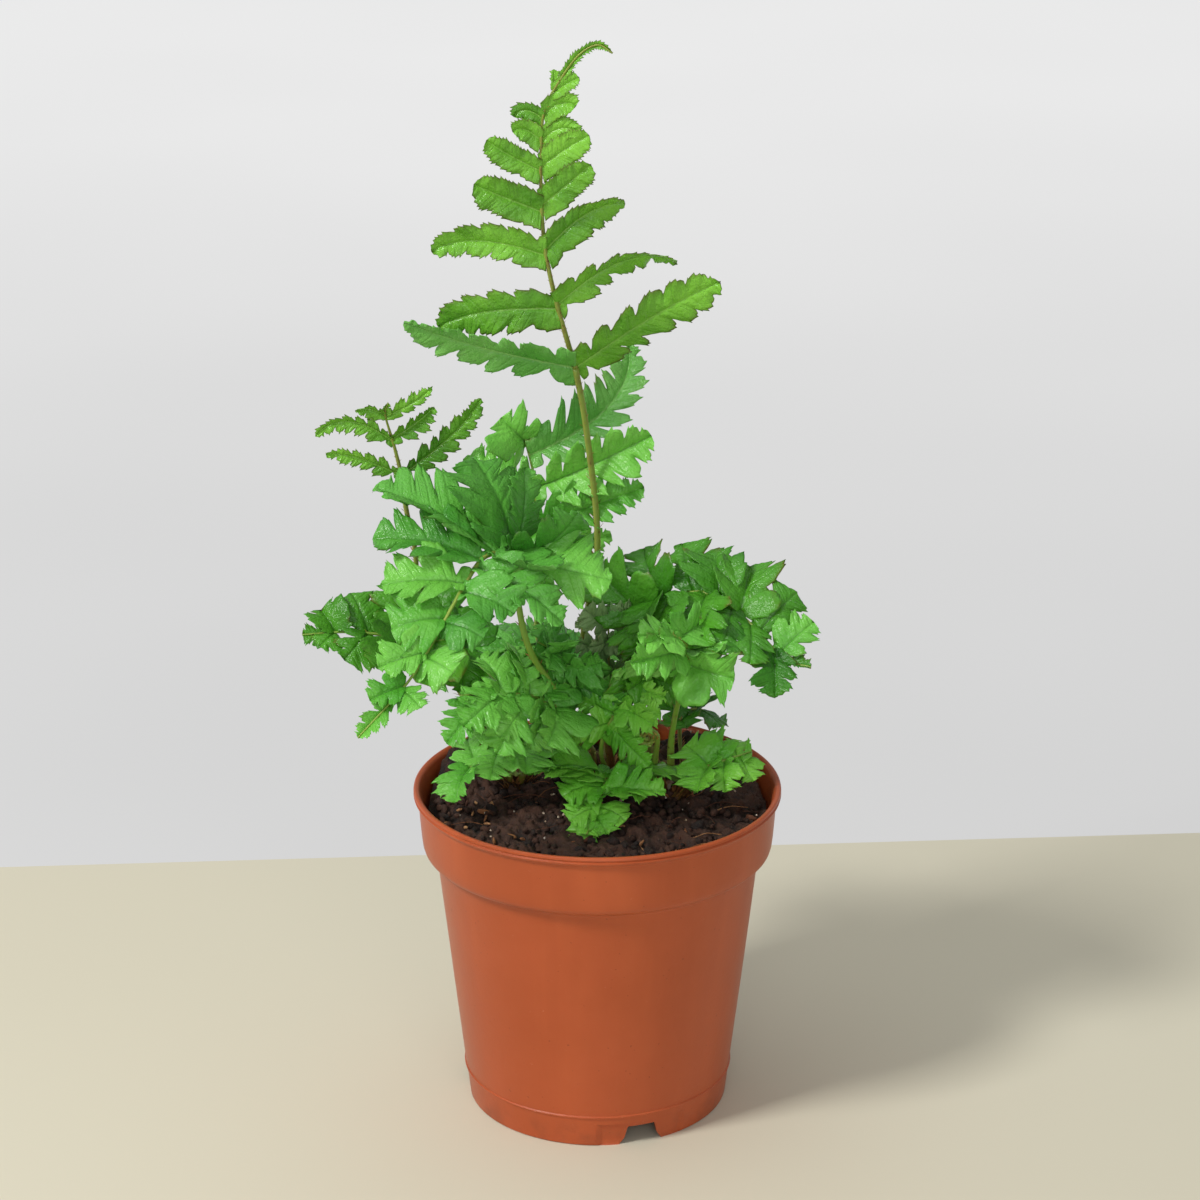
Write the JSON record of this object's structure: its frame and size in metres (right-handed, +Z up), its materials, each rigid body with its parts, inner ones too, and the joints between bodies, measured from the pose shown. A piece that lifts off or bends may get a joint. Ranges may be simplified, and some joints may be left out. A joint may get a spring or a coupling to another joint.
{
  "type": "potted autumn fern",
  "caption": "Young autumn fern with toothed, lobed fronds in a round tapered nursery pot filled with peat soil.",
  "frame": {"origin": "middle of the whole plant's outline seen from above, on the surface that the pot stands on", "axes": "+Z up along the pot; -Y is the front of the plant; +X is to the viewer's right"},
  "size_m": [0.142, 0.1322, 0.3102],
  "materials": {
    "pot_plastic": "satin, fine moulded grain",
    "peat_soil": "rough, crumbly, moist",
    "rootstock": "rough, scaly",
    "stalk": "satin, fine scales",
    "leaf_dark": "satin, leathery",
    "leaf_light": "satin, leathery",
    "crozier": "downy"
  },
  "bodies": {
    "root": {"pot": "pot_plastic", "soil": "peat_soil", "crown_main": "rootstock", "crown_right": "rootstock", "crown_left": "rootstock", "tall_stipe": "stalk", "tall_blade": "leaf_dark", "slender_stipe": "stalk", "slender_blade": "leaf_dark", "arching_stipe": "stalk", "arching_blade": "leaf_dark", "back_stipe": "stalk", "back_blade": "leaf_light", "right_stipe": "stalk", "right_blade": "leaf_dark", "left_stipe": "stalk", "left_blade": "leaf_dark", "right_front_stipe": "stalk", "right_front_blade": "leaf_light", "lower_left_stipe": "stalk", "lower_left_blade": "leaf_light", "front_left_stipe": "stalk", "front_left_blade": "leaf_light", "front_stipe": "stalk", "front_blade": "leaf_light", "front_right_stipe": "stalk", "front_right_blade": "leaf_light", "young_stipe": "stalk", "young_blade": "leaf_light", "back_right_stipe": "stalk", "back_right_blade": "leaf_light", "inner_dark_stipe": "stalk", "inner_dark_blade": "leaf_dark", "inner_grey_stipe": "stalk", "inner_grey_blade": "leaf_light", "inner_right_stipe": "stalk", "inner_right_blade": "leaf_light", "rear_left_stipe": "stalk", "rear_left_blade": "leaf_light", "rear_right_stipe": "stalk", "rear_right_blade": "leaf_light", "rear_low_stipe": "stalk", "rear_low_blade": "leaf_light", "small_stipe": "stalk", "small_blade": "leaf_light", "seedling_stipe": "stalk", "seedling_blade": "leaf_light", "crozier_left": "crozier", "crozier_right": "crozier"}
  },
  "joints": []
}
